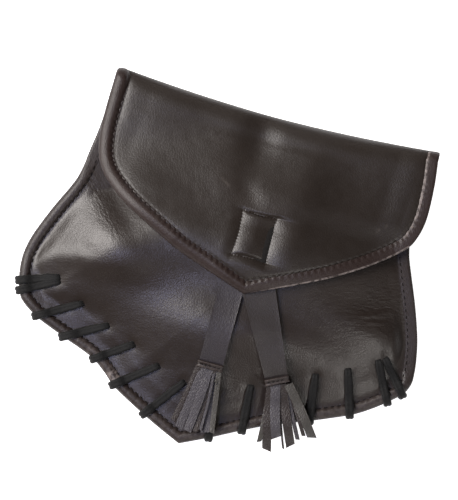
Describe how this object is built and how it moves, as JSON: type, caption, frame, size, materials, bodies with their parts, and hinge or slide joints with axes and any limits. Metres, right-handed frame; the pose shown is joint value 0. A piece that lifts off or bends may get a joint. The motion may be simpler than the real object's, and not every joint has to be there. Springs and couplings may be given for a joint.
{
  "type": "belt bag",
  "caption": "Soft leather belt bag with a pointed flap, bound edges, a laced bottom edge, two hanging straps with tassels and a belt loop on its back.",
  "frame": {"origin": "middle of the box that holds the bag, on the surface that it lies on", "axes": "+X to the bag's right as its front is seen, +Y from its pointed bottom to its folded top, +Z out of its front"},
  "size_m": [0.2223, 0.1891, 0.0341],
  "materials": {
    "panel_leather": "smooth, satin, fine grain",
    "binding_leather": "smooth, satin, folded strip",
    "strap_leather": "smooth, satin, cut edges",
    "lace_cord": "matt, suede-like",
    "patch_fabric": "matt, looped pile"
  },
  "bodies": {
    "root": {"back_and_flap": "panel_leather", "front_panel": "panel_leather", "body_binding": "binding_leather", "flap_binding": "binding_leather", "lace": "lace_cord", "strap_left": "strap_leather", "tassel_left": "strap_leather", "strap_right": "strap_leather", "tassel_right": "strap_leather", "closure_patch": "patch_fabric", "belt_loop": "panel_leather"}
  },
  "joints": []
}
